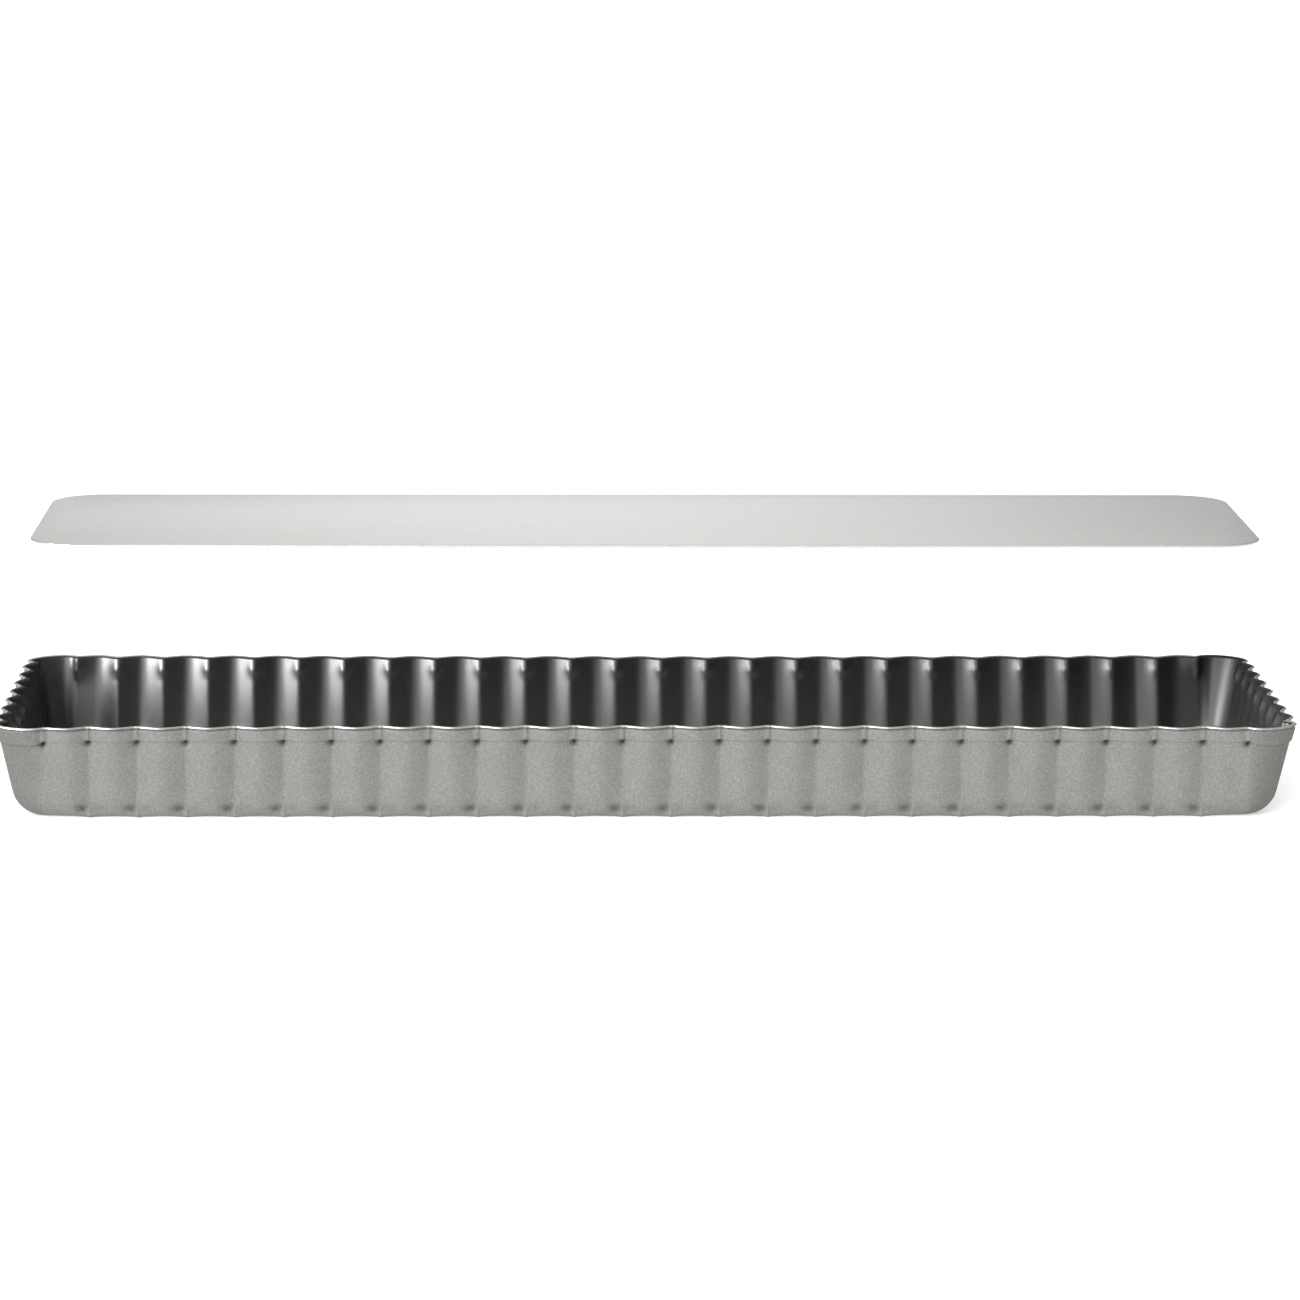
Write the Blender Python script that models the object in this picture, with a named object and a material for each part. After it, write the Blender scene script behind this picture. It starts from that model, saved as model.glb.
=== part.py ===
"""Rectangular fluted tart pan with a loose base, the base lifted straight up out of its frame.

The frame is one pressed sheet: a fluted wall, a rim hemmed outward and a ledge turned inward at the foot.
X runs along the pan, Y across it, and Z is up. The origin is the middle of the underside.
"""

import math

import bmesh
import bpy

MM = 0.001

# Frame: heights and the sheet
HEIGHT = 26.3 * MM
SHEET = 0.6 * MM
HEM_HEIGHT = 4.2 * MM
HEM_STEP = 0.8 * MM  # how far the folded hem stands out from the wall
LEDGE_WIDTH = 7.0 * MM
WINDOW_CORNER_RADIUS = 5.0 * MM  # of the opening inside the ledge
BEND_RADIUS = 1.8 * MM  # outside radius of the bend between wall and ledge

# Frame: plan at the rim. The inward creases between the flutes lie on a rounded rectangle.
RIM_HALF_LENGTH = 175.8 * MM
RIM_HALF_WIDTH = 54.2 * MM
CREASE_LEAN = 4.5 * MM  # how far the creases run inward from rim to foot
RIM_CORNER_RADIUS = 8.5 * MM
FOOT_CORNER_RADIUS = 8.0 * MM
SIDE_BOW = 1.8 * MM  # the long sides spring inward at the rim, halfway along

# Flutes
LONG_FLUTES = 25
LONG_PITCH = 13.2 * MM
LONG_END_PITCH = 12.0 * MM  # the flute next to each corner is narrower
SHORT_FLUTES = 7
SHORT_PITCH = 12.86 * MM
FLUTE_DEPTH = 2.9 * MM
CREST_ROUNDING = 0.35  # of a flute's crest, against half its width
CORNER_SHARE = 1.1  # how far the corners bulge, against the flutes
CORNER_FLATNESS = 6  # a high power gives steep ends and a level middle
DIMPLE_HEIGHT = 5.5 * MM  # below this height the flutes flatten quickly
DIMPLE_SHARE = 0.7  # share of the flute depth left at that height
FOOT_SHARE = 0.2  # share of the flute depth left at the foot
FADE_HEIGHT = 5.0 * MM  # the long sides' outermost creases fade over this height below the hem
FADED_SHARE = 0.15  # what is left of them below that
FOOT_SPREAD_LONG = 1.002  # places of the creases along a side at the foot, against those at the rim
FOOT_SPREAD_SHORT = 0.9

# Loose base
BASE_LENGTH = 337.0 * MM
BASE_WIDTH = 94.4 * MM
BASE_THICKNESS = 0.8 * MM
BASE_CORNER_RADIUS = 15.0 * MM
BASE_EDGE = 0.15 * MM  # chamfer of its edges
SEAT_GAP = 0.3 * MM  # left between the base and the ledge when it is down
LIFT = 73.4 * MM  # how far the base stands above its seat

# Fineness of the mesh
STEPS_PER_FLUTE = 4
STEPS_PER_CORNER = 8
STEPS_PER_BASE_CORNER = 8
SHARP_ANGLE = math.radians(38)

# Directions of travel and outward normals of the four sides, counter-clockwise from the front
SIDES = [((1, 0), (0, -1)), ((0, 1), (1, 0)), ((-1, 0), (0, 1)), ((0, -1), (-1, 0))]


def clear_scene():
    for obj in list(bpy.data.objects):
        bpy.data.objects.remove(obj)


def blend(foot_value, rim_value, share):
    return foot_value + (rim_value - foot_value) * share


def crease_places(flutes, pitch, end_pitch):
    """Places of the creases along a side, from its first to its last, about the middle."""
    widths = [end_pitch] + [pitch] * (flutes - 2) + [end_pitch]
    places = [-sum(widths) / 2]
    for width in widths:
        places.append(places[-1] + width)
    return places


def flute_bulge(share):
    """Bulge across one flute, 0 at its creases and 1 at its crest: a roof with a rounded ridge."""
    across = 2 * share - 1
    fall = math.hypot(across, CREST_ROUNDING) - CREST_ROUNDING
    return 1 - fall / (math.hypot(1, CREST_ROUNDING) - CREST_ROUNDING)


def corner_bulge(share):
    """Bulge round a corner: it rises quickly and stays nearly level."""
    return CORNER_SHARE * (1 - abs(2 * share - 1) ** CORNER_FLATNESS)


class Station:
    """One step round the plan: on a side at a place, or in the corner after it at a share of the way."""

    def __init__(self, side, place, corner_share, bulge, fades):
        self.side = side
        self.place = place
        self.corner_share = corner_share
        self.bulge = bulge
        self.fades = fades  # whether it is beside a crease that fades below the hem


def plan_stations():
    """The steps round the plan, counter-clockwise from the front side."""
    long_creases = crease_places(LONG_FLUTES, LONG_PITCH, LONG_END_PITCH)
    short_creases = crease_places(SHORT_FLUTES, SHORT_PITCH, SHORT_PITCH)
    stations = []
    for side in range(4):
        is_long = side % 2 == 0
        creases = long_creases if is_long else short_creases
        for index, (start, end) in enumerate(zip(creases, creases[1:])):
            for step in range(STEPS_PER_FLUTE):
                share = step / STEPS_PER_FLUTE
                by_first_crease = index == 0 and share < 0.5
                by_last_crease = index == LONG_FLUTES - 1 and share > 0.5
                fades = is_long and (by_first_crease or by_last_crease)
                stations.append(Station(side, blend(start, end, share), None, flute_bulge(share), fades))
        stations.append(Station(side, creases[-1], None, 0.0, is_long))
        for step in range(1, STEPS_PER_CORNER):
            share = step / STEPS_PER_CORNER
            fades = share < 0.5 if is_long else share > 0.5
            stations.append(Station(side, None, share, corner_bulge(share), fades))
    return stations


def last_crease(side):
    if side % 2:
        return SHORT_FLUTES * SHORT_PITCH / 2
    return ((LONG_FLUTES - 2) * LONG_PITCH + 2 * LONG_END_PITCH) / 2


class Outline:
    """The rounded rectangle on which the creases, or the edge of the window in the ledge, lie."""

    def __init__(self, level, radius, ledge=0.0):
        self.level = level  # 0 at the foot and 1 at the rim
        self.radius = radius
        self.ledge = ledge

    def half_sizes(self, side):
        """Half its size along a side, and across it."""
        inset = HEM_STEP + CREASE_LEAN * (1 - self.level) + self.ledge
        half_length = RIM_HALF_LENGTH - inset
        half_width = RIM_HALF_WIDTH - inset
        return (half_width, half_length) if side % 2 else (half_length, half_width)

    def spread(self, side):
        """Places of the creases along a side, against those at the rim."""
        half_along, _ = self.half_sizes(side)
        at_level = blend(FOOT_SPREAD_SHORT if side % 2 else FOOT_SPREAD_LONG, 1.0, self.level)
        return at_level * half_along / (half_along + self.ledge)

    def straight_left(self, side, place):
        """How far it still runs straight from a place to the corner, and how far it has turned there."""
        half_along, _ = self.half_sizes(side)
        left = half_along - self.radius - abs(place) * self.spread(side)
        turn = math.asin(max(0.0, -left) / self.radius)
        return max(0.0, left), turn

    def corner_step(self, side, share):
        """Where a share of the way round a corner lies: how far short of the bend, how far the outline has
        turned, and how far past the bend.
        """
        before, first_turn = self.straight_left(side, last_crease(side))
        after, last_turn = self.straight_left(side + 1, last_crease(side + 1))
        bend = math.pi / 2 - first_turn - last_turn
        travelled = share * (before + self.radius * bend + after) - before
        turn = first_turn + min(max(0.0, travelled / self.radius), bend)
        return max(0.0, -travelled), turn, max(0.0, travelled - self.radius * bend)

    def point(self, station):
        """Its point at a station and its outward normal there, each as (x, y)."""
        half_along, half_across = self.half_sizes(station.side)
        if station.corner_share is None:
            _, turn = self.straight_left(station.side, station.place)
            turn = math.copysign(turn, station.place)
            along = station.place * self.spread(station.side)
            past = 0.0
        else:
            short, turn, past = self.corner_step(station.side, station.corner_share)
            along = half_along - self.radius * (1 - math.sin(turn)) - short
        across = half_across - self.radius * (1 - math.cos(turn)) - past
        if station.place is not None and station.side % 2 == 0:
            across -= SIDE_BOW * self.level * (1 - (station.place / last_crease(station.side)) ** 2)
        travel, outward = SIDES[station.side]
        point = [along * t + across * n for t, n in zip(travel, outward)]
        normal = [math.sin(turn) * t + math.cos(turn) * n for t, n in zip(travel, outward)]
        return point, normal


def crease_outline(height):
    level = height / HEIGHT
    return Outline(level, blend(FOOT_CORNER_RADIUS, RIM_CORNER_RADIUS, level))


def window_outline():
    return Outline(0.0, WINDOW_CORNER_RADIUS, LEDGE_WIDTH)


def flute_share(height):
    """Share of the full flute depth at a height above the underside."""
    if height < DIMPLE_HEIGHT:
        return blend(FOOT_SHARE, DIMPLE_SHARE, height / DIMPLE_HEIGHT)
    return blend(DIMPLE_SHARE, 1.0, (height - DIMPLE_HEIGHT) / (HEIGHT - DIMPLE_HEIGHT))


def bulge_at(station, height):
    """The station's bulge at a height. Beside a fading crease it fills out below the hem."""
    if not station.fades:
        return station.bulge
    below_hem = (HEIGHT - HEM_HEIGHT - height) / FADE_HEIGHT
    filled = (1 - FADED_SHARE) * min(max(0.0, below_hem), 1.0)
    return station.bulge + filled * max(0.0, 1 - station.bulge)


def frame_section():
    """The sheet's closed section, as (height, distance out from the wall's outer face).

    It runs from the ledge's underside up the outside, over the rim and down the inside. None as the
    distance means the edge of the window in the ledge.
    """
    rim_radius = (HEM_STEP + SHEET) / 2
    rim_middle = HEM_STEP - rim_radius
    diagonal = math.sqrt(0.5)
    inner_bend = BEND_RADIUS - SHEET
    hem_base = HEIGHT - HEM_HEIGHT
    return [
        (0.0, None),
        (0.0, -BEND_RADIUS),
        (BEND_RADIUS * (1 - diagonal), -BEND_RADIUS * (1 - diagonal)),
        (BEND_RADIUS, 0.0),
        (DIMPLE_HEIGHT, 0.0),
        (hem_base - FADE_HEIGHT, 0.0),
        (hem_base, 0.0),
        (hem_base, HEM_STEP),
        (HEIGHT - rim_radius, HEM_STEP),
        (HEIGHT - rim_radius * (1 - diagonal), rim_middle + rim_radius * diagonal),
        (HEIGHT, rim_middle),
        (HEIGHT - rim_radius * (1 - diagonal), rim_middle - rim_radius * diagonal),
        (HEIGHT - rim_radius, -SHEET),
        (hem_base, -SHEET),
        (hem_base - FADE_HEIGHT, -SHEET),
        (DIMPLE_HEIGHT, -SHEET),
        (SHEET + inner_bend, -SHEET),
        (SHEET, -SHEET - inner_bend),
        (SHEET, None),
    ]


def frame_point(station, section_point):
    height, distance = section_point
    if distance is None:
        (x, y), _ = window_outline().point(station)
        return (x, y, height)
    (x, y), (normal_x, normal_y) = crease_outline(height).point(station)
    distance += FLUTE_DEPTH * flute_share(height) * bulge_at(station, height)
    return (x + normal_x * distance, y + normal_y * distance, height)


def finish_object(name, mesh, material):
    mesh.materials.append(material)
    mesh.shade_smooth()
    mesh.set_sharp_from_angle(angle=SHARP_ANGLE)
    obj = bpy.data.objects.new(name, mesh)
    bpy.context.scene.collection.objects.link(obj)
    return obj


def make_material(name, colour, metallic, roughness):
    material = bpy.data.materials.new(name)
    material.use_nodes = True
    shader = material.node_tree.nodes["Principled BSDF"]
    shader.inputs["Base Color"].default_value = (*colour, 1.0)
    shader.inputs["Metallic"].default_value = metallic
    shader.inputs["Roughness"].default_value = roughness
    return material


def bridge(bm, lower_ring, upper_ring):
    """Quads between two rings of the same length."""
    count = len(lower_ring)
    for i in range(count):
        j = (i + 1) % count
        bm.faces.new((lower_ring[i], lower_ring[j], upper_ring[j], upper_ring[i]))


def build_fluted_frame():
    """The section swept round the plan, joined back to its start both ways."""
    stations = plan_stations()
    bm = bmesh.new()
    rings = []
    for section_point in frame_section():
        rings.append([bm.verts.new(frame_point(station, section_point)) for station in stations])
    for lower_ring, upper_ring in zip(rings, rings[1:] + rings[:1]):
        bridge(bm, lower_ring, upper_ring)
    mesh = bpy.data.meshes.new("fluted_frame")
    bm.to_mesh(mesh)
    bm.free()
    coating = make_material("grey_coating", (0.33, 0.32, 0.30), 0.6, 0.5)
    return finish_object("fluted_frame", mesh, coating)


def rounded_rectangle(length, width, radius, steps):
    """Points round a rectangle with arcs at its corners, counter-clockwise."""
    points = []
    for quarter, (sign_x, sign_y) in enumerate([(1, 1), (-1, 1), (-1, -1), (1, -1)]):
        centre_x = sign_x * (length / 2 - radius)
        centre_y = sign_y * (width / 2 - radius)
        for step in range(steps + 1):
            angle = math.radians(90) * (quarter + step / steps)
            points.append((centre_x + radius * math.cos(angle), centre_y + radius * math.sin(angle)))
    return points


def build_loose_base():
    """A flat plate with chamfered edges, its origin in the middle of its underside."""
    levels = [
        (0.0, BASE_EDGE),
        (BASE_EDGE, 0.0),
        (BASE_THICKNESS - BASE_EDGE, 0.0),
        (BASE_THICKNESS, BASE_EDGE),
    ]
    bm = bmesh.new()
    rings = []
    for height, inset in levels:
        outline = rounded_rectangle(
            BASE_LENGTH - 2 * inset,
            BASE_WIDTH - 2 * inset,
            BASE_CORNER_RADIUS - inset,
            STEPS_PER_BASE_CORNER,
        )
        rings.append([bm.verts.new((x, y, height)) for x, y in outline])
    for lower_ring, upper_ring in zip(rings, rings[1:]):
        bridge(bm, lower_ring, upper_ring)
    bm.faces.new(list(reversed(rings[0])))
    bm.faces.new(rings[-1])
    mesh = bpy.data.meshes.new("loose_base")
    bm.to_mesh(mesh)
    bm.free()
    coating = make_material("plate_coating", (0.62, 0.61, 0.59), 0.7, 0.4)
    obj = finish_object("loose_base", mesh, coating)
    obj.location.z = SHEET + SEAT_GAP + LIFT
    return obj


clear_scene()
build_fluted_frame()
build_loose_base()
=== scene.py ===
"""Looks of the rectangular fluted tart pan: its frame of coated sheet and the loose base lifted above it.

The frame and the base are modelled again at full fineness, inside the boxes of their CAD nodes, and take
their places from them. Lengths are in metres. X runs along the pan, Y across it, and Z is up.
"""

import math

import bpy
import numpy as np
from mathutils import Matrix, Vector


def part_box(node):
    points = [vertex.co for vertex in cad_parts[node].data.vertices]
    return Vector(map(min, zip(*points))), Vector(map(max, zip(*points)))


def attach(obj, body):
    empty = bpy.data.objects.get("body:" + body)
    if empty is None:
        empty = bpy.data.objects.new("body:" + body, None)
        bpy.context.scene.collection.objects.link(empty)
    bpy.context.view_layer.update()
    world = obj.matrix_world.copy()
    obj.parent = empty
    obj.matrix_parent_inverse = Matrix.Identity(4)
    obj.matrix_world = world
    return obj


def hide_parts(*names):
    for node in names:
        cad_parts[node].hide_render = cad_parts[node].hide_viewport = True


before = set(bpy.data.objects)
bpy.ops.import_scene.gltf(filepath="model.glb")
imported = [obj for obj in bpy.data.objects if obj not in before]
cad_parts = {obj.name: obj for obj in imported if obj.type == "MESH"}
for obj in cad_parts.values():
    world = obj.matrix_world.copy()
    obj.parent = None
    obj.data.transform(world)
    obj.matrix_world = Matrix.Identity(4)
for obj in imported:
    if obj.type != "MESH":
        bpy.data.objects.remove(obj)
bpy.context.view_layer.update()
_, FRAME_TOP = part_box("fluted_frame")
BASE_LOW, BASE_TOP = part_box("loose_base")

MM = 0.001
SEED = 7

# Frame: the sheet and its heights
HEIGHT = FRAME_TOP.z
SHEET = 0.6 * MM
LEDGE_WIDTH = 7.0 * MM
LEDGE_EDGE = 0.15 * MM  # rounding of the ledge's cut edge
WINDOW_CORNER_RADIUS = 5.0 * MM
FOOT_RADIUS_CREASE = 0.9 * MM  # the bend at the foot is tight below a crease and wide below a crest
FOOT_RADIUS_CREST = 3.2 * MM
FOOT_RADIUS_CORNER = 4.4 * MM  # and wider still at the corners

# Frame: plan. The creases between the flutes lie on a rounded rectangle that leans in towards the foot.
FLUTE_DEPTH = 2.85 * MM
HEM_STEP = 0.8 * MM
RIM_HALF_LENGTH = FRAME_TOP.x - 2.75 * MM  # the flutes and the bead stand out beyond the creases
RIM_HALF_WIDTH = FRAME_TOP.y - 2.83 * MM
CREASE_LEAN = 4.5 * MM
RIM_CORNER_RADIUS = 8.5 * MM
FOOT_CORNER_RADIUS = 8.0 * MM
CORNER_LENGTH = 15.5 * MM  # way round a corner between its two creases
SIDE_BOW = 1.8 * MM  # the long sides spring inward at the rim, halfway along
FOOT_SPREAD_LONG = 1.002  # places of the creases along a side at the foot, against those at the rim
FOOT_SPREAD_SHORT = 0.9

# Frame: flutes
LONG_FLUTES = 25
LONG_PITCH = 13.2 * MM
LONG_END_PITCH = 12.0 * MM
SHORT_FLUTES = 7
SHORT_PITCH = 12.86 * MM
CREST_ROUNDING = 0.35  # of a flute's crest, against half its width
CORNER_SHARE = 1.1  # how far the corners bulge, against the flutes
CORNER_FLATNESS = 6  # a high power gives steep ends and a level middle
CORNER_ONSET = 4  # the same for how the hem changes over to the corners
FOOT_SHARE = 0.2  # share of the flute depth left at the foot
DIMPLE_SHARE = 0.7  # and at the height where the flutes begin to flatten
DIMPLE_HEIGHT = 5.5 * MM
DIMPLE_SOFTNESS = 0.04  # of the change between the two
DEPTH_SPREAD = 0.06  # how much shallower the shallowest flute is
CREASE_ROUNDING = 0.2 * MM
FADE_DROP = 9.0 * MM  # the long sides' outermost creases fade over this drop below the rim
FADE_AT_RIM = 0.4  # share of them that is gone at the rim, and below the drop
FADE_BELOW = 0.96

# Frame: pressing marks beside the creases
DENT_DEPTH = 0.6 * MM
DENT_HEIGHT = 2.7 * MM
DENT_SPAN = 1.15 * MM  # how far it reaches up and down
DENT_PLACE = 2.1 * MM  # from the crease
DENT_WIDTH = 1.8 * MM
DENT_AFTER = 0.35  # strength of those after a crease, against those before it
FLARE_RISE = 0.5 * MM  # the foot of a crease runs out in a small sharp ridge
FLARE_WIDTH = 0.5 * MM
FLARE_SPAN = 2.4 * MM
WAVE = 0.05 * MM  # unevenness of the sheet
WAVE_ALONG = 17 * MM
WAVE_UP = 9 * MM
WAVE_ACROSS = 11 * MM
WAVE_SLANT = 41 * MM

# Frame: the hem, folded outward and pleated at every crease
HEM_HEIGHT = 4.2 * MM
HEM_FACE = 0.33 * MM  # how far its flat part stands out from the wall: it is pressed flat on the flutes
HEM_LIP = 0.26 * MM  # and its lower edge
HEM_CORNER_FACE = 0.62 * MM  # the same at the corners
HEM_CORNER_LIP = 0.56 * MM
HEM_SHEET = 0.2 * MM  # left of the fold at its lower edge
HEM_GAP_DEPTH = 1.4 * MM  # of the gap behind it
HEM_ROUNDING = 0.3 * MM  # it bridges the creases instead of following them, more so on the short sides
HEM_END_ROUNDING = 0.9 * MM
HEM_ARCH = 0.4 * MM  # its lower edge arches up over each crease
HEM_ARCH_WIDTH = 0.75 * MM
HEM_CORNER_DROP = 0.9 * MM  # and it reaches lower at the corners
PLEAT_RISE = 0.62 * MM
PLEAT_TOP = 0.9 * MM  # it begins this far below the rim
PLEAT_WIDTH = 0.4 * MM
PLEAT_NOTCH = 0.22 * MM  # groove at each side of the pleat
PLEAT_NOTCH_PLACE = 1.0 * MM
PLEAT_NOTCH_WIDTH = 0.42 * MM
PINCH_DEPTH = 0.6 * MM  # dimple of the wall under each pleat
PINCH_DROP = 4.7 * MM
PINCH_SPAN = 0.7 * MM
PINCH_WIDTH = 0.8 * MM
RIDGE_SWELL = 0.55 * MM  # the creases' inner ridges swell behind the hem and are notched below it
RIDGE_WIDTH = 1.6 * MM
RIDGE_ABOVE = 0.6 * MM  # the swelling ends between these two, above and below the hem's edge
RIDGE_BELOW = 0.4 * MM
NOTCH_DEPTH = 0.2 * MM
NOTCH_DROP = 5.7 * MM
NOTCH_SPAN = 0.5 * MM
NOTCH_WIDTH = 0.8 * MM
BEAD_HEIGHT = 0.38 * MM  # of the bead along the rim
BEAD_WIDTH = 0.4 * MM
BEAD_REACH = 0.67 * MM  # how far it stands out from the wall
# The coating of the groove under the bead is painted darker, as shade.
GROOVE_LOW = 1.15  # drops below the rim in mm, where the coating of the groove under the bead
GROOVE_HIGH = 0.5  # begins and ends
RIM_END = math.radians(60)  # where the bright top of the bead ends on its inner side
MARK_BEFORE = 1.3 * MM  # painted shade under each pleat reaches further before the crease than after it
MARK_AFTER = 0.6 * MM
MARK_DROP = 4.75 * MM
MARK_SPAN = 0.75 * MM
DENT_MARK = 0.6  # how much of it there is in the dents
CORNER_MARK = 0.26  # and over the corners, as painted shade

# Fineness of the frame's mesh
STEPS_PER_FLUTE = 16
STEPS_PER_CORNER = 32
CLUSTER = 0.75  # how strongly steps and levels gather at creases and at the wall's edges, from 0 to 1
WALL_LEVELS = 18  # of the outer face, from the foot to the hem
INNER_LEVELS = 22  # of the inner face
BEND_STEPS = 6
BEAD_STEPS = 6

# Loose base
BASE_CORNER_RADIUS = 15.0 * MM
BASE_EDGE_RADIUS = 0.3 * MM
STEPS_PER_BASE_CORNER = 32
STEPS_PER_BASE_EDGE = 5

SHARP_ANGLE = math.radians(50)

# Camera, in degrees and metres
CAMERA_PLACE = (-33.7 * MM, -1427.9 * MM, 292.9 * MM)
CAMERA_TURN = 1.428
CAMERA_PITCH = 10.126
CAMERA_ROLL = 0.253
CAMERA_LENS_MM = 142.6
CAMERA_CLIP_END = 50.0

# Studio, in metres and watts
FLOOR_SIZE = 40.0
FLOOR_GAP = 0.05 * MM
FLOOR_GLOW = 0.42  # it is lit from below as well, like a photographer's light table
KEY_PLACE = (-1.8, -4.0, 2.2)
KEY_SIZE = (2.7, 2.1)
KEY_POWER = 195.0
GLEAM_PLACE = (-0.95, -0.45, 0.6)  # it only makes reflections, the bright bands inside
GLEAM_SIZE = (0.4, 1.2)
GLEAM_POWER = 115.0

# Brightness of the surroundings, and the directions over which it changes from the middle to the ends
WORLD_SEEN = 1.1  # as the camera sees them
WORLD_MIDDLE = 1.1  # as light
WORLD_ENDS = 0.0
WORLD_CHANGE = (0.3, 0.95)
BEHIND_MIDDLE = 1.0  # as reflections of what is behind the pan
BEHIND_ENDS = 0.05
BEHIND_CHANGE = (0.0, 0.28)
BEFORE_MIDDLE = 0.45  # as reflections of what is in front of it
BEFORE_RIGHT = 0.12
BEFORE_CHANGE = (0.1, 0.7)
BACK_CHANGE = (-0.1, 0.3)  # and from the front to the back

# Directions of travel and outward normals of the four sides, counter-clockwise from the front
SIDES = [((1, 0), (0, -1)), ((0, 1), (1, 0)), ((-1, 0), (0, 1)), ((0, -1), (-1, 0))]


# ---------------------------------------------------------------- shape of the frame


def blend(first, last, share):
    return first + (last - first) * share


def near(distance, width):
    """A soft bump: 1 where the distance is 0, dying away over the width."""
    return np.exp(-((distance / width) ** 2))


def smooth_step(value, start, end):
    share = np.clip((value - start) / (end - start), 0, 1)
    return share * share * (3 - 2 * share)


def clustered(steps):
    """Shares from 0 up to, but without, 1, closer together near both ends."""
    even = np.arange(steps) / steps
    return even - CLUSTER * np.sin(2 * np.pi * even) / (2 * np.pi)


def crease_places(side):
    """Places of the creases along a side, from its first to its last, about the middle."""
    if side % 2:
        widths = [SHORT_PITCH] * SHORT_FLUTES
    else:
        widths = [LONG_END_PITCH] + [LONG_PITCH] * (LONG_FLUTES - 2) + [LONG_END_PITCH]
    return np.concatenate([[0], np.cumsum(widths)]) - sum(widths) / 2


class Plan:
    """The steps round the pan, counter-clockwise from the front side, with one array entry for each.

    place is where a step lies along its side, from the middle, share how far it is across its flute or
    corner, and reach how far it is from the nearest crease. bulge says how far it stands out, as a share
    of the flute depth. corner, ends and fades say whether it is at a corner, on a short side, or beside a
    crease that fades. into_corner and corner_foot say how far the hem and the bend at the foot have
    changed over to their shape at the corners. travel and outward are the directions of its side.
    """

    def __init__(self):
        rng = np.random.default_rng(SEED)
        columns = []
        for side in range(4):
            creases = crease_places(side)
            depths = 1 - DEPTH_SPREAD * rng.random(len(creases) - 1)
            depths[[0, -1]] = 1  # like the corners beside them
            for start, end, depth in zip(creases, creases[1:], depths):
                share = clustered(STEPS_PER_FLUTE)
                place = blend(start, end, share)
                columns.append(self.stretch(side, place, share, end - start, False, depth))
            share = clustered(STEPS_PER_CORNER)
            columns.append(self.stretch(side, creases[-1] + 0 * share, share, CORNER_LENGTH, True, 1))
        side, self.place, self.share, width, corner, self.depth = np.concatenate(columns, axis=1)
        side = side.astype(int)
        self.corner = corner.astype(bool)
        self.reach = np.minimum(self.share, 1 - self.share) * width
        across = 2 * self.share - 1
        corner_crown = CORNER_SHARE * (1 - across**CORNER_FLATNESS)
        crest_fall = np.hypot(across, CREST_ROUNDING) - CREST_ROUNDING
        flute_crown = 1 - crest_fall / (math.hypot(1, CREST_ROUNDING) - CREST_ROUNDING)
        self.bulge = np.where(self.corner, corner_crown, flute_crown)
        self.into_corner = np.where(self.corner, 1 - across**CORNER_ONSET, 0)
        self.face = blend(HEM_FACE, HEM_CORNER_FACE, self.into_corner)
        self.lip = blend(HEM_LIP, HEM_CORNER_LIP, self.into_corner)
        ends = side % 2 == 1
        self.ends = ends
        self.hem_rounding = np.where(ends, HEM_END_ROUNDING, HEM_ROUNDING)
        self.half_along = np.where(ends, RIM_HALF_WIDTH, RIM_HALF_LENGTH)
        self.half_across = np.where(ends, RIM_HALF_LENGTH, RIM_HALF_WIDTH)
        self.foot_spread = np.where(ends, FOOT_SPREAD_SHORT, FOOT_SPREAD_LONG)
        self.next_foot_spread = np.where(ends, FOOT_SPREAD_LONG, FOOT_SPREAD_SHORT)
        long_last = crease_places(0)[-1]
        short_last = crease_places(1)[-1]
        self.next_last = np.where(ends, long_last, short_last)
        self.bow = np.where(ends, 0, SIDE_BOW * (1 - (self.place / long_last) ** 2))
        by_flute = ~ends & ~self.corner & (np.abs(self.place) > long_last - LONG_END_PITCH / 2)
        by_corner = self.corner & np.where(ends, self.share > 0.5, self.share < 0.5)
        self.fades = by_flute | by_corner
        last = np.where(ends, short_last, long_last)
        reach_of_corner = np.where(ends, SHORT_PITCH / 2, LONG_END_PITCH)
        near_corner = smooth_step(np.abs(self.place), last - reach_of_corner, last)
        self.corner_foot = np.where(self.corner, 1, near_corner)
        self.travel = np.array([SIDES[s][0] for s in side], float)
        self.outward = np.array([SIDES[s][1] for s in side], float)

    @staticmethod
    def stretch(side, place, share, width, corner, depth):
        """The steps of one flute or corner, as rows of side, place, share, width, corner and depth."""
        same = np.ones(len(share))
        return np.array([side * same, place, share, width * same, corner * same, depth * same])


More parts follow.
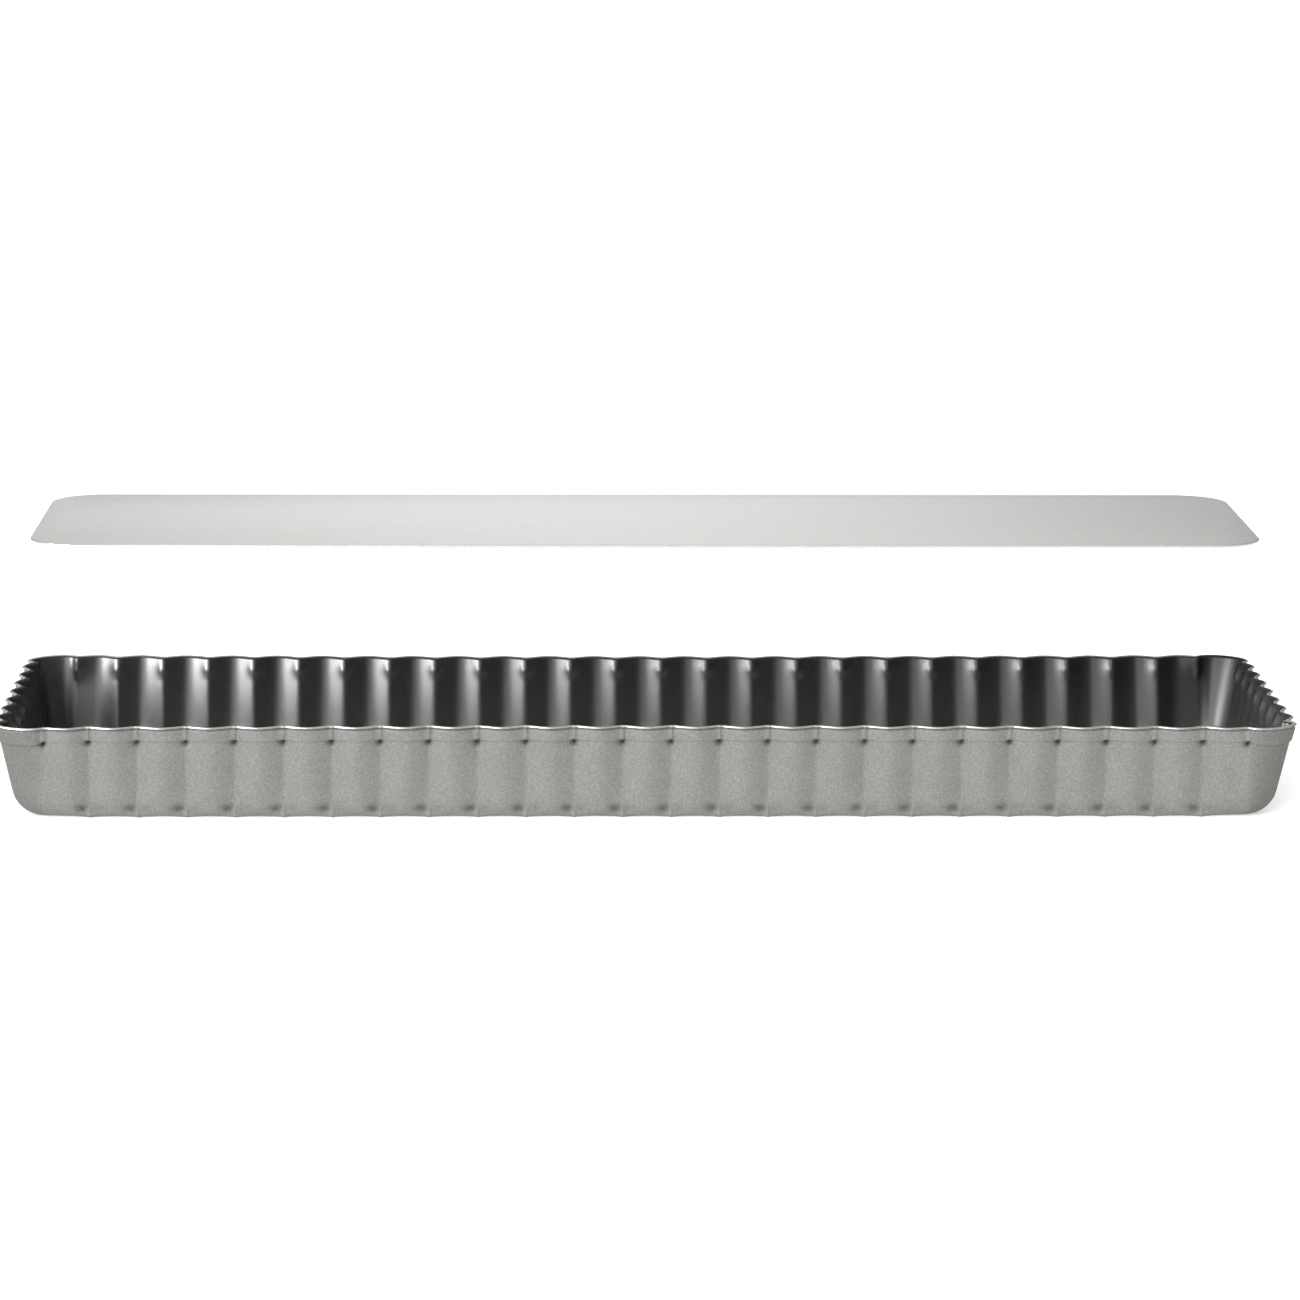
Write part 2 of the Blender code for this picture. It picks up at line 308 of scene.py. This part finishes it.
def outline(plan, height, radius=None, ledge=0.0):
    """Points of the crease outline and their outward normals, at the height of each step.

    With a ledge, the outline moves in by its width.
    """
    level = height / HEIGHT
    if radius is None:
        radius = blend(FOOT_CORNER_RADIUS, RIM_CORNER_RADIUS, level)
    inset = HEM_STEP + CREASE_LEAN * (1 - level) + ledge
    half_along = plan.half_along - inset
    half_across = plan.half_across - inset
    spread = blend(plan.foot_spread, 1, level) * half_along / (half_along + ledge)
    next_spread = blend(plan.next_foot_spread, 1, level) * half_across / (half_across + ledge)

    # how far it runs straight on both sides of the corner's bend, and how far it has turned by then
    before = half_along - radius - np.abs(plan.place) * spread
    after = half_across - radius - plan.next_last * next_spread
    first = np.arcsin(np.maximum(-before, 0) / radius)
    last = np.arcsin(np.maximum(-after, 0) / radius)
    before = np.maximum(before, 0)
    after = np.maximum(after, 0)
    bend = math.pi / 2 - first - last
    travelled = plan.share * (before + radius * bend + after) - before
    bend_turn = first + np.clip(travelled / radius, 0, bend)
    short = np.maximum(-travelled, 0)
    past = np.where(plan.corner, np.maximum(travelled - radius * bend, 0), 0)

    turn = np.where(plan.corner, bend_turn, np.sign(plan.place) * first)
    bend_along = half_along - radius * (1 - np.sin(turn)) - short
    along = np.where(plan.corner, bend_along, plan.place * spread)
    across = half_across - radius * (1 - np.cos(turn)) - past - plan.bow * level
    points = plan.travel * along[:, None] + plan.outward * across[:, None]
    normals = plan.travel * np.sin(turn)[:, None] + plan.outward * np.cos(turn)[:, None]
    return points, normals


def flute_share(height):
    """Share of the full flute depth at a height: it falls slowly to the dimples, and then quickly."""
    low = blend(FOOT_SHARE, DIMPLE_SHARE, height / DIMPLE_HEIGHT)
    high = blend(DIMPLE_SHARE, 1, (height - DIMPLE_HEIGHT) / (HEIGHT - DIMPLE_HEIGHT))
    return -DIMPLE_SOFTNESS * np.log(np.exp(-low / DIMPLE_SOFTNESS) + np.exp(-high / DIMPLE_SOFTNESS))


def faded(plan, height):
    """How far the crease beside each step has faded: not at all is 0, and quite away is 1."""
    fade = blend(FADE_AT_RIM, FADE_BELOW, smooth_step(HEIGHT - height, 0, FADE_DROP))
    return np.where(plan.fades, fade, 0)


def bulge_at(plan, height):
    return plan.bulge + faded(plan, height) * np.maximum(1 - plan.bulge, 0)


def dent_share(plan, height):
    """How deep the dents beside the creases' feet are, from 0 to 1. Those before a crease are deeper."""
    strength = np.where(plan.share > 0.5, 1, DENT_AFTER)
    return strength * near(plan.reach - DENT_PLACE, DENT_WIDTH) * near(height - DENT_HEIGHT, DENT_SPAN)


def wall_distance(plan, height):
    """How far the wall's outer face stands out from the crease outline."""
    peak = FLUTE_DEPTH * flute_share(height) * plan.depth
    rise = np.hypot(peak * bulge_at(plan, height), CREASE_ROUNDING) - CREASE_ROUNDING
    distance = rise * peak / (np.hypot(peak, CREASE_ROUNDING) - CREASE_ROUNDING)
    marked = 1 - faded(plan, height)
    dent = DENT_DEPTH * dent_share(plan, height)
    flare = FLARE_RISE * near(plan.reach, FLARE_WIDTH) * near(height - FOOT_RADIUS_CREASE, FLARE_SPAN)
    drop = HEIGHT - height
    pinch = PINCH_DEPTH * near(plan.reach, PINCH_WIDTH) * near(drop - PINCH_DROP, PINCH_SPAN)
    return distance + marked * (flare - dent) - pinch


def hem_distance(plan, height):
    """How far the sheet under the flat part of the hem stands out from the crease outline."""
    peak = FLUTE_DEPTH * flute_share(height) * plan.depth
    rounding = plan.hem_rounding
    bridge = np.hypot(peak * bulge_at(plan, height), rounding) + peak - np.hypot(peak, rounding)
    below_top = smooth_step(HEIGHT - height, 0, PLEAT_TOP)
    pleat = PLEAT_RISE * near(plan.reach, PLEAT_WIDTH) * below_top
    notch = PLEAT_NOTCH * near(plan.reach - PLEAT_NOTCH_PLACE, PLEAT_NOTCH_WIDTH) * below_top
    return bridge + pleat - notch


def hem_height(plan, drop):
    """Height of a line along the hem. Its lower edge arches up over the creases and dips at the corners."""
    share = smooth_step(drop, HEM_HEIGHT / 2, HEM_HEIGHT)
    arch = HEM_ARCH * near(plan.reach, HEM_ARCH_WIDTH) - HEM_CORNER_DROP * plan.into_corner
    return HEIGHT - drop + share * arch


def waviness(points, height):
    """A slight unevenness of the pressed sheet."""
    x, y = points.T
    long_wave = np.sin(x / WAVE_ALONG + height / WAVE_UP + 0.4)
    short_wave = np.sin(y / WAVE_ACROSS - x / WAVE_SLANT + 2.0)
    return WAVE * (long_wave + short_wave) / 2


def moved(plan, height, distance):
    """The crease outline moved outward by a distance, as points in plan."""
    points, normals = outline(plan, height)
    return points + normals * (distance + waviness(points, height))[:, None]


def inner_face(plan, height, thickness):
    """The wall's outer face moved in by the sheet's thickness, square to the wall in plan."""
    outer = moved(plan, height, wall_distance(plan, height))
    along = np.roll(outer, -1, axis=0) - np.roll(outer, 1, axis=0)
    along /= np.linalg.norm(along, axis=1)[:, None]
    outward = np.column_stack([along[:, 1], -along[:, 0]])
    return outer - outward * np.reshape(thickness, (-1, 1))


def ridge_thickness(plan, height):
    """The sheet's thickness seen from inside, with the swollen and notched ridges of the creases."""
    drop = HEIGHT - height
    behind_hem = 1 - smooth_step(drop, HEM_HEIGHT - RIDGE_ABOVE, HEM_HEIGHT + RIDGE_BELOW)
    swell = RIDGE_SWELL * np.clip(drop / HEM_HEIGHT, 0, 1) * near(plan.reach, RIDGE_WIDTH) * behind_hem
    notch = NOTCH_DEPTH * near(plan.reach, NOTCH_WIDTH) * near(drop - NOTCH_DROP, NOTCH_SPAN)
    return SHEET + (swell - notch) * (1 - faded(plan, height))


def frame_rings(plan):
    """The frame's closed section as (points in plan, heights, material), for every step round the pan.

    It runs from the ledge's underside up the outside, over the rim and down the inside.
    """
    level = np.ones(len(plan.share))
    foot_radius = blend(FOOT_RADIUS_CREASE, FOOT_RADIUS_CREST, np.minimum(bulge_at(plan, 0), 1))
    foot_radius = blend(foot_radius, FOOT_RADIUS_CORNER, plan.corner_foot)
    bend_radius = foot_radius - SHEET
    rings = []

    def add(points, height, material):
        rings.append((points, height * level, material))

    def add_bend(arc_radius, angles, material):
        for angle in angles:
            height = foot_radius - arc_radius * math.cos(angle)
            back = foot_radius - arc_radius * math.sin(angle)
            add(moved(plan, height, wall_distance(plan, height) - back), height, material)

    quarter = np.linspace(0, math.pi / 2, BEND_STEPS + 1)
    ledge_edge, _ = outline(plan, 0 * level, WINDOW_CORNER_RADIUS, LEDGE_WIDTH)
    ledge_inset, _ = outline(plan, 0 * level, WINDOW_CORNER_RADIUS + LEDGE_EDGE, LEDGE_WIDTH - LEDGE_EDGE)

    # underside of the ledge, bend and wall
    add(ledge_inset, 0, "outside")
    add_bend(foot_radius, quarter, "outside")
    hem_base = hem_height(plan, HEM_HEIGHT)
    for share in 1 - clustered(WALL_LEVELS)[::-1]:
        height = blend(foot_radius, hem_base, share)
        add(moved(plan, height, wall_distance(plan, height)), height, "outside")

    # gap behind the hem
    gap_top = hem_base + HEM_GAP_DEPTH
    add(moved(plan, gap_top, wall_distance(plan, gap_top)), gap_top, "outside")
    add(moved(plan, gap_top, hem_distance(plan, gap_top) + plan.lip / 2), gap_top, "outside")
    lip_back = np.maximum(plan.lip - HEM_SHEET, 0)
    add(moved(plan, hem_base, hem_distance(plan, hem_base) + lip_back), hem_base, "outside")

    # hem, from its rounded lower edge up: drop from the rim, share of the step in at its lip, and step
    hem_profile = [
        (4.2, 1.0, -0.1),
        (4.14, 1.0, -0.02),
        (4.0, 1.0, 0.0),
        (3.6, 0.8, 0.0),
        (3.1, 0.6, 0.0),
        (2.6, 0.4, 0.0),
        (2.0, 0.2, 0.0),
        (1.5, 0.0, 0.0),
        (1.3, 0.0, -0.03),
        (1.1, 0.0, -0.14),
        (0.85, 0.0, -0.2),
        (0.6, 0.0, -0.1),
        (0.45, 0.0, 0.1),
    ]
    for drop, lip_share, step in hem_profile:
        height = hem_height(plan, drop * MM)
        distance = hem_distance(plan, height) + blend(plan.face, plan.lip, lip_share) + step * MM
        material = "outside" if drop > GROOVE_LOW else "groove" if drop > GROOVE_HIGH else "rim"
        add(moved(plan, height, distance), height, material)

    # bead: a bright rounded edge outside, and a dark land from its top to the inner face
    bead_base = (HEIGHT - BEAD_HEIGHT) * level
    outer = moved(plan, bead_base, hem_distance(plan, bead_base) + BEAD_REACH)
    crown = moved(plan, bead_base, hem_distance(plan, bead_base) + BEAD_REACH - BEAD_WIDTH)
    inner = inner_face(plan, bead_base, ridge_thickness(plan, bead_base))
    for angle in np.linspace(0, math.pi / 2, BEAD_STEPS + 1):
        height = HEIGHT - BEAD_HEIGHT * (1 - math.sin(angle))
        add(blend(crown, outer, math.cos(angle)), height, "rim")
    for angle in np.linspace(0, math.pi / 2, BEAD_STEPS + 1)[1:]:
        height = HEIGHT - BEAD_HEIGHT * (1 - math.cos(angle))
        material = np.where(plan.ends, "land", "rim") if angle < RIM_END else "land"
        add(blend(crown, inner, math.sin(angle)), height, material)

    # inner face, bend, top of the ledge and its cut edge
    for share in 1 - clustered(INNER_LEVELS)[1:]:
        height = blend(foot_radius, HEIGHT - BEAD_HEIGHT, share)
        add(inner_face(plan, height, ridge_thickness(plan, height)), height, "inside")
    add_bend(bend_radius, quarter[::-1], "inside")
    add(ledge_inset, SHEET, "inside")
    add(ledge_edge, SHEET - LEDGE_EDGE, "inside")
    add(ledge_edge, LEDGE_EDGE, "outside")
    return rings


def swept_mesh(name, rings, materials):
    """One closed mesh through rings that close both ways. Rings name their materials, one or one a step."""
    count = len(rings[0][0])
    corners = np.concatenate([np.column_stack([points, heights]) for points, heights, _ in rings])
    here = np.arange(count)
    beside = np.roll(here, -1)
    faces = []
    slots = []
    names = list(materials)
    for index, (_, _, material) in enumerate(rings):
        start = index * count
        above = (index + 1) % len(rings) * count
        faces.append(np.column_stack([here + start, beside + start, beside + above, here + above]))
        slots += [names.index(step_material) for step_material in np.broadcast_to(material, count)]
    mesh = bpy.data.meshes.new(name)
    mesh.from_pydata(corners.tolist(), [], np.concatenate(faces).tolist())
    for material in materials.values():
        mesh.materials.append(material)
    mesh.polygons.foreach_set("material_index", slots)
    return mesh


def finish_piece(mesh, body, node):
    """Puts a mesh in the scene in place of its CAD node, riding on its body."""
    mesh.update()
    mesh.shade_smooth()
    mesh.set_sharp_from_angle(angle=SHARP_ANGLE)
    piece = bpy.data.objects.new(mesh.name, mesh)
    bpy.context.scene.collection.objects.link(piece)
    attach(piece, body)
    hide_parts(node)
    return piece


def add_painted_shade(mesh, plan, rings):
    """Stores painted shade, under the pleats, in the dents and over the corners, for the outer coating to
    read.
    """
    width = np.where(plan.share > 0.5, MARK_BEFORE, MARK_AFTER)
    marks = []
    for _, heights, material in rings:
        drop = HEIGHT - heights
        # painted shade under each pleat, then in the dents and over the corners
        mark = near(plan.reach, width) * near(drop - MARK_DROP, MARK_SPAN)
        mark += DENT_MARK * dent_share(plan, heights) * (1 - faded(plan, heights))
        mark += CORNER_MARK * plan.into_corner
        marks.append(mark * (np.broadcast_to(material, len(mark)) == "outside"))
    attribute = mesh.attributes.new("painted_shade", "FLOAT", "POINT")
    attribute.data.foreach_set("value", np.concatenate(marks).astype(np.float32))


def build_fluted_frame():
    plan = Plan()
    rings = frame_rings(plan)
    materials = {
        "outside": outer_coating(),
        "groove": groove_painted_shade(),
        "rim": rim_metal_and_highlight(),
        "land": land_coating(),
        "inside": inner_coating(),
    }
    mesh = swept_mesh("fluted_frame_sheet", rings, materials)
    add_painted_shade(mesh, plan, rings)
    return finish_piece(mesh, "frame", "fluted_frame")


# ---------------------------------------------------------------- shape of the loose base


def rounded_rectangle(half_length, half_width, radius):
    """Points round a rectangle with arcs at its corners, counter-clockwise."""
    quarter = np.linspace(0, math.pi / 2, STEPS_PER_BASE_CORNER + 1)
    points = []
    for index, (sign_x, sign_y) in enumerate([(1, 1), (-1, 1), (-1, -1), (1, -1)]):
        angle = quarter + index * math.pi / 2
        x = sign_x * (half_length - radius) + radius * np.cos(angle)
        y = sign_y * (half_width - radius) + radius * np.sin(angle)
        points.append(np.column_stack([x, y]))
    return np.concatenate(points)


def build_loose_base():
    """A flat plate with rounded edges, closed above and below."""
    profile = []
    for angle in np.linspace(math.pi / 2, 0, STEPS_PER_BASE_EDGE + 1):
        height = BASE_LOW.z + BASE_EDGE_RADIUS * (1 - math.sin(angle))
        profile.append((height, BASE_EDGE_RADIUS * (1 - math.cos(angle))))
    profile += [(BASE_LOW.z + BASE_TOP.z - height, inset) for height, inset in reversed(profile)]
    rings = []
    for height, inset in profile:
        points = rounded_rectangle(BASE_TOP.x - inset, BASE_TOP.y - inset, BASE_CORNER_RADIUS - inset)
        rings.append(np.column_stack([points, np.full(len(points), height)]))
    count = len(rings[0])
    here = np.arange(count)
    beside = np.roll(here, -1)
    faces = [list(here[::-1]), list(here + (len(rings) - 1) * count)]
    for index in range(len(rings) - 1):
        start = index * count
        above = start + count
        faces += np.column_stack([here + start, beside + start, beside + above, here + above]).tolist()
    mesh = bpy.data.meshes.new("loose_base_plate")
    mesh.from_pydata(np.concatenate(rings).tolist(), [], [list(map(int, face)) for face in faces])
    mesh.materials.append(plate_coating())
    return finish_piece(mesh, "base", "loose_base")


# ---------------------------------------------------------------- materials


class Shader:
    """A new material with a Principled BSDF, and short ways to add nodes to it."""

    def __init__(self, name, metallic, roughness, specular=0.5):
        self.material = bpy.data.materials.new(name)
        self.material.use_nodes = True
        self.tree = self.material.node_tree
        self.principled = self.tree.nodes["Principled BSDF"]
        self.principled.inputs["Metallic"].default_value = metallic
        self.principled.inputs["Roughness"].default_value = roughness
        self.principled.inputs["Specular IOR Level"].default_value = specular
        self.place = self.add("ShaderNodeTexCoord").outputs["Object"]

    def add(self, kind, **inputs):
        """A new node. Each input is given by its name, with _ for a space, as a value or as an output."""
        node = self.tree.nodes.new(kind)
        for name, value in inputs.items():
            self.feed(node.inputs[name.replace("_", " ")], value)
        return node

    def feed(self, socket, value):
        if isinstance(value, bpy.types.NodeSocket):
            self.tree.links.new(value, socket)
        else:
            socket.default_value = value

    def grain(self, size, detail=2.0, stretch=(1, 1, 1)):
        """Noise from 0 to 1 whose grains measure about size, in metres."""
        mapping = self.add("ShaderNodeMapping", Vector=self.place, Scale=stretch)
        vector = mapping.outputs["Vector"]
        node = self.add("ShaderNodeTexNoise", Vector=vector, Scale=1 / size, Detail=detail)
        return node.outputs["Fac"]

    def spread(self, value, low, high, start=0.3, end=0.7):
        """The value, taken from start to end, as a number from low to high."""
        node = self.add("ShaderNodeMapRange", Value=value)
        node.inputs["From Min"].default_value = start
        node.inputs["From Max"].default_value = end
        node.inputs["To Min"].default_value = low
        node.inputs["To Max"].default_value = high
        return node.outputs["Result"]

    def colours(self, value, *colours, start=0.3, end=0.7):
        """A colour ramp over the value, with the colours evenly apart from start to end."""
        node = self.add("ShaderNodeValToRGB", Fac=value)
        stops = node.color_ramp.elements
        for index, colour in enumerate(colours):
            at = blend(start, end, index / (len(colours) - 1))
            stop = stops[index] if index < 2 else stops.new(at)
            stop.position = at
            stop.color = (*colour, 1)
        return node.outputs["Color"]

    def multiply(self, colour, other, share):
        node = self.tree.nodes.new("ShaderNodeMix")
        node.data_type = "RGBA"
        node.blend_type = "MULTIPLY"
        factor, first, second = node.inputs[0], node.inputs[6], node.inputs[7]
        self.feed(factor, share)
        self.feed(first, colour)
        self.feed(second, other)
        return node.outputs[2]

    def finish(self, colour, roughness=None, bumps=()):
        """Links the colour, the roughness and bumps, each as (height pattern, depth in metres)."""
        self.feed(self.principled.inputs["Base Color"], colour)
        if roughness is not None:
            self.feed(self.principled.inputs["Roughness"], roughness)
        normal = None
        for pattern, depth in bumps:
            node = self.add("ShaderNodeBump", Height=pattern, Distance=depth, Strength=1.0)
            if normal is not None:
                self.feed(node.inputs["Normal"], normal)
            normal = node.outputs["Normal"]
        if normal is not None:
            self.feed(self.principled.inputs["Normal"], normal)
        return self.material


def outer_coating():
    """Matte warm grey coating with a fine speckle, darkened by painted shade under the pleats, in the dents
    and over the corners.
    """
    shader = Shader("outer_grey_coating", metallic=0.0, roughness=0.65, specular=0.12)
    speckle = shader.grain(0.55 * MM, detail=2)
    colour = shader.colours(speckle, (0.172, 0.168, 0.158), (0.203, 0.199, 0.187), (0.244, 0.24, 0.227))
    cloud = shader.colours(shader.grain(7 * MM, detail=3), (0.93, 0.93, 0.93), (1.0, 1.0, 1.0))
    colour = shader.multiply(colour, cloud, 1.0)
    # painted shade: the coating is darkened where the attribute's value is high
    mark = shader.add("ShaderNodeAttribute")
    mark.attribute_name = "painted_shade"
    colour = shader.multiply(colour, (0.05, 0.05, 0.048, 1), mark.outputs["Fac"])
    roughness = shader.spread(shader.grain(1.6 * MM), 0.55, 0.7)
    return shader.finish(colour, roughness, [(speckle, 0.012 * MM)])


def groove_painted_shade():
    """The same coating, painted darker in the groove below the rim's bead as shade under it."""
    shader = Shader("groove_painted_shade", metallic=0.0, roughness=0.7, specular=0.2)
    # painted shade: darker than the outer coating
    colour = shader.colours(shader.grain(1.2 * MM), (0.09, 0.088, 0.083), (0.14, 0.137, 0.129))
    return shader.finish(colour)


def rim_metal_and_highlight():
    """The bead of the rim, worn bright, and painted lighter still as a highlight."""
    shader = Shader("rim_worn_metal_painted_highlight", metallic=0.3, roughness=0.45)
    # lighter than the outer coating: worn metal and a painted highlight
    colour = shader.colours(shader.grain(1.5 * MM), (0.27, 0.266, 0.252), (0.38, 0.373, 0.355))
    roughness = shader.spread(shader.grain(0.8 * MM), 0.35, 0.5)
    return shader.finish(colour, roughness)


def land_coating():
    """The dark coating where it ends, dull, on the inner part of the bead."""
    shader = Shader("rim_land_coating", metallic=0.0, roughness=0.8, specular=0.1)
    colour = shader.colours(shader.grain(1.0 * MM), (0.02, 0.02, 0.02), (0.05, 0.049, 0.047))
    return shader.finish(colour)


def inner_coating():
    """Dark satin non-stick coating, with faint drawing marks down the wall."""
    shader = Shader("inner_nonstick_coating", metallic=0.0, roughness=0.38, specular=0.5)
    marks = shader.grain(1.1 * MM, detail=3, stretch=(1, 1, 0.35))
    colour = shader.colours(marks, (0.0075, 0.0073, 0.0077), (0.0105, 0.01, 0.0105))
    roughness = shader.spread(marks, 0.36, 0.41)
    return shader.finish(colour, roughness, [(marks, 0.004 * MM)])


def plate_coating():
    """Light grey satin coating of the loose base."""
    shader = Shader("base_light_coating", metallic=0.5, roughness=0.2)
    grain = shader.grain(1.4 * MM, detail=3)
    colour = shader.colours(grain, (0.55, 0.545, 0.525), (0.6, 0.595, 0.575))
    roughness = shader.spread(shader.grain(6 * MM), 0.2, 0.21)
    return shader.finish(colour, roughness)


# ---------------------------------------------------------------- studio


def add_floor():
    mesh = bpy.data.meshes.new("floor")
    half = FLOOR_SIZE / 2
    corners = [(x * half, y * half, -FLOOR_GAP) for x, y in [(-1, -1), (1, -1), (1, 1), (-1, 1)]]
    mesh.from_pydata(corners, [], [(0, 1, 2, 3)])
    shader = Shader("floor_pale", metallic=0.0, roughness=0.9, specular=0.2)
    shader.principled.inputs["Emission Color"].default_value = (1, 1, 1, 1)
    shader.principled.inputs["Emission Strength"].default_value = FLOOR_GLOW
    mesh.materials.append(shader.finish((0.92, 0.92, 0.915, 1)))
    floor = bpy.data.objects.new("floor", mesh)
    bpy.context.scene.collection.objects.link(floor)


def add_softbox(name, place, size, power, glossy_only=False, target=(0, 0, 0)):
    """A soft rectangular lamp that faces the target and isn't seen itself."""
    lamp = bpy.data.lights.new(name, "AREA")
    lamp.shape = "RECTANGLE"
    lamp.size, lamp.size_y = size
    lamp.energy = power
    softbox = bpy.data.objects.new(name, lamp)
    softbox.location = place
    softbox.rotation_euler = (Vector(target) - Vector(place)).to_track_quat("-Z", "Y").to_euler()
    softbox.visible_camera = False
    softbox.visible_diffuse = not glossy_only
    bpy.context.scene.collection.objects.link(softbox)


class WorldNodes:
    """Short ways to mix brightness values in the world's nodes."""

    def __init__(self, tree):
        self.tree = tree

    def spread(self, value, start, end, low, high):
        """A soft change from low, where the value is at the start, to high, where it is at the end."""
        node = self.tree.nodes.new("ShaderNodeMapRange")
        node.interpolation_type = "SMOOTHSTEP"
        self.tree.links.new(value, node.inputs["Value"])
        for name, number in [("From Min", start), ("From Max", end), ("To Min", low), ("To Max", high)]:
            node.inputs[name].default_value = number
        return node.outputs["Result"]

    def absolute(self, value):
        node = self.tree.nodes.new("ShaderNodeMath")
        node.operation = "ABSOLUTE"
        self.tree.links.new(value, node.inputs[0])
        return node.outputs[0]

    def choose(self, first, second, share):
        node = self.tree.nodes.new("ShaderNodeMix")
        self.tree.links.new(share, node.inputs[0])
        for socket, value in [(node.inputs[2], first), (node.inputs[3], second)]:
            if isinstance(value, bpy.types.NodeSocket):
                self.tree.links.new(value, socket)
            else:
                socket.default_value = value
        return node.outputs[0]


def add_world():
    """White surroundings, darker beyond both ends of the pan and, in reflections, in front of it."""
    world = bpy.data.worlds.new("studio")
    world.use_nodes = True
    nodes = WorldNodes(world.node_tree)
    background = world.node_tree.nodes["Background"]
    background.inputs["Color"].default_value = (1, 1, 1, 1)
    place = world.node_tree.nodes.new("ShaderNodeTexCoord").outputs["Generated"]
    direction = world.node_tree.nodes.new("ShaderNodeSeparateXYZ")
    world.node_tree.links.new(place, direction.inputs[0])
    right, back, _ = direction.outputs
    sideways = nodes.absolute(right)
    path = world.node_tree.nodes.new("ShaderNodeLightPath")

    light = nodes.spread(sideways, *WORLD_CHANGE, WORLD_MIDDLE, WORLD_ENDS)
    behind = nodes.spread(sideways, *BEHIND_CHANGE, BEHIND_MIDDLE, BEHIND_ENDS)
    before = nodes.spread(right, *BEFORE_CHANGE, BEFORE_MIDDLE, BEFORE_RIGHT)
    is_behind = nodes.spread(back, *BACK_CHANGE, 0.0, 1.0)
    reflected = nodes.choose(before, behind, is_behind)
    strength = nodes.choose(light, reflected, path.outputs["Is Glossy Ray"])
    strength = nodes.choose(strength, WORLD_SEEN, path.outputs["Is Camera Ray"])
    world.node_tree.links.new(strength, background.inputs["Strength"])
    bpy.context.scene.world = world


def add_camera():
    data = bpy.data.cameras.new("camera")
    data.lens = CAMERA_LENS_MM
    data.clip_end = CAMERA_CLIP_END
    camera = bpy.data.objects.new("camera", data)
    turn = Matrix.Rotation(-math.radians(CAMERA_TURN), 4, "Z")
    tilt = Matrix.Rotation(math.radians(90 - CAMERA_PITCH), 4, "X")
    roll = Matrix.Rotation(math.radians(CAMERA_ROLL), 4, "Z")
    camera.matrix_world = Matrix.Translation(CAMERA_PLACE) @ turn @ tilt @ roll
    bpy.context.scene.collection.objects.link(camera)
    bpy.context.scene.camera = camera


def build_studio():
    add_floor()
    add_softbox("key_left", KEY_PLACE, KEY_SIZE, KEY_POWER)
    add_softbox("gleam_left", GLEAM_PLACE, GLEAM_SIZE, GLEAM_POWER, glossy_only=True)
    add_world()
    add_camera()
    bpy.context.scene.view_settings.view_transform = "Standard"


build_fluted_frame()
build_loose_base()
build_studio()
